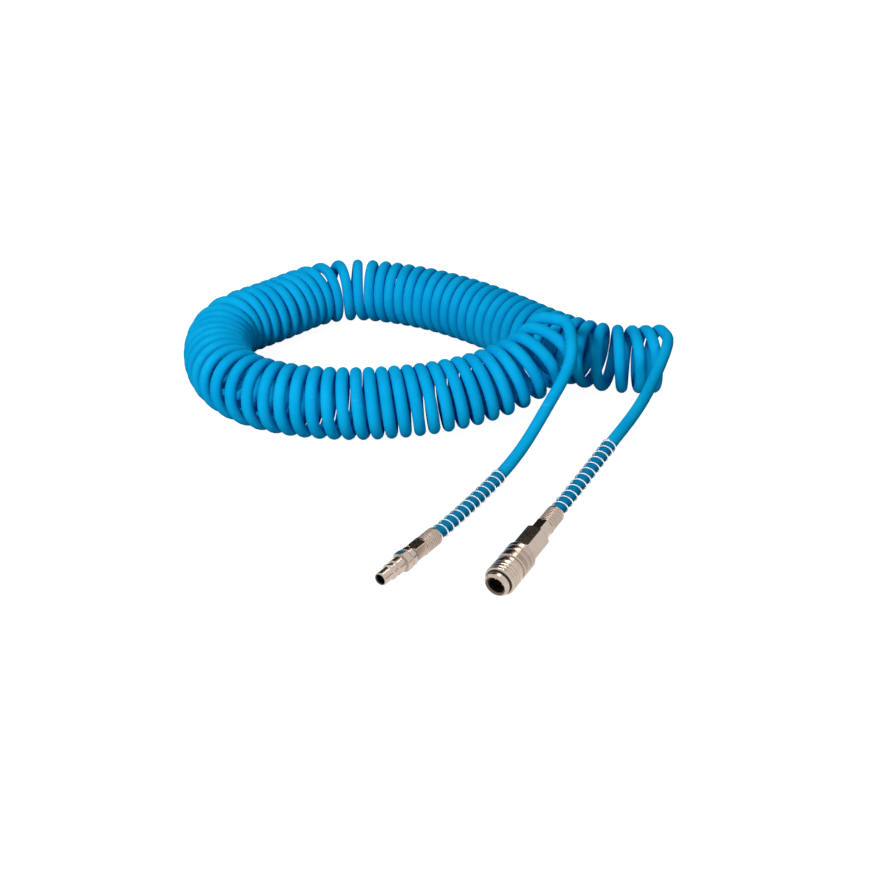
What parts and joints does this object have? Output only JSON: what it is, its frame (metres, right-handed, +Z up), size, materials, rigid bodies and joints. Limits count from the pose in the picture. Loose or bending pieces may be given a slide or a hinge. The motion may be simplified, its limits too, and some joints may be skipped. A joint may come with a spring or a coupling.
{
  "type": "coiled air hose",
  "caption": "Blue coiled air hose laid in a hooked bundle, with a quick-release socket and a plug on its ends, each behind a union nut and a wire bend spring.",
  "frame": {"origin": "centre of the laid hose's footprint, on the surface that it lies on", "axes": "+Z up, +Y from the two couplings towards the back of the bundle, +X to the end of the coil that carries the socket"},
  "size_m": [0.4362, 0.4982, 0.0904],
  "materials": {
    "hose": "satin",
    "nickel_plate": "satin",
    "spring_steel": "polished",
    "ball_steel": "polished",
    "blackened_steel": "satin",
    "valve_brass": "satin",
    "seal_rubber": "matte"
  },
  "bodies": {
    "hose": {"hose_coil": "hose", "hose_tail_plug": "hose", "hose_tail_socket": "hose", "plug_nipple": "nickel_plate", "plug_nut": "nickel_plate", "plug_bend_spring": "spring_steel", "socket_body": "nickel_plate", "socket_adapter": "nickel_plate", "sleeve_spring": "spring_steel", "valve_spring": "spring_steel", "nose_seal": "seal_rubber", "body_seal": "seal_rubber", "socket_nut": "nickel_plate", "socket_bend_spring": "spring_steel"},
    "sleeve_turn": {"sleeve_stop_ring": "blackened_steel"},
    "sleeve": {"release_sleeve": "nickel_plate"},
    "valve": {"valve_poppet": "valve_brass", "valve_seal": "seal_rubber"},
    "ball_1": {"lock_ball_1": "ball_steel"},
    "ball_2": {"lock_ball_2": "ball_steel"},
    "ball_3": {"lock_ball_3": "ball_steel"},
    "ball_4": {"lock_ball_4": "ball_steel"},
    "ball_5": {"lock_ball_5": "ball_steel"},
    "ball_6": {"lock_ball_6": "ball_steel"}
  },
  "joints": [
    {"name": "sleeve_spin", "type": "hinge", "parent": "hose", "child": "sleeve_turn", "pos_m": [0.05627, -0.23457, 0.01188], "axis": [0.527, 0.8434, 0.1045], "continuous": true},
    {"name": "sleeve_slide", "type": "slide", "parent": "sleeve_turn", "child": "sleeve", "axis": [0.527, 0.8434, 0.1045], "range_m": [0, 0.003], "stiffness_N_per_m": 600, "springref_m": -0.005, "deforming": ["sleeve_spring"]},
    {"name": "valve_slide", "type": "slide", "parent": "hose", "child": "valve", "axis": [0.527, 0.8434, 0.1045], "range_m": [0, 0.0043], "stiffness_N_per_m": 300, "springref_m": -0.006, "deforming": ["valve_spring"]},
    {"name": "ball_1_slide", "type": "slide", "parent": "hose", "child": "ball_1", "axis": [0.7067, -0.5032, 0.4973], "range_m": [0, 0.00125]},
    {"name": "ball_2_slide", "type": "slide", "parent": "hose", "child": "ball_2", "axis": [0.7621, -0.4146, -0.4973], "range_m": [0, 0.00125]},
    {"name": "ball_3_slide", "type": "slide", "parent": "hose", "child": "ball_3", "axis": [0.0554, 0.0886, -0.9945], "range_m": [0, 0.00125]},
    {"name": "ball_4_slide", "type": "slide", "parent": "hose", "child": "ball_4", "axis": [-0.7067, 0.5032, -0.4973], "range_m": [0, 0.00125]},
    {"name": "ball_5_slide", "type": "slide", "parent": "hose", "child": "ball_5", "axis": [-0.7621, 0.4146, 0.4973], "range_m": [0, 0.00125]},
    {"name": "ball_6_slide", "type": "slide", "parent": "hose", "child": "ball_6", "axis": [-0.0554, -0.0886, 0.9945], "range_m": [0, 0.00125]}
  ],
  "couplings": [
    {"joint": "ball_1_slide", "follows": "sleeve_slide", "ratio": 0.41667},
    {"joint": "ball_2_slide", "follows": "sleeve_slide", "ratio": 0.41667},
    {"joint": "ball_3_slide", "follows": "sleeve_slide", "ratio": 0.41667},
    {"joint": "ball_4_slide", "follows": "sleeve_slide", "ratio": 0.41667},
    {"joint": "ball_5_slide", "follows": "sleeve_slide", "ratio": 0.41667},
    {"joint": "ball_6_slide", "follows": "sleeve_slide", "ratio": 0.41667}
  ]
}
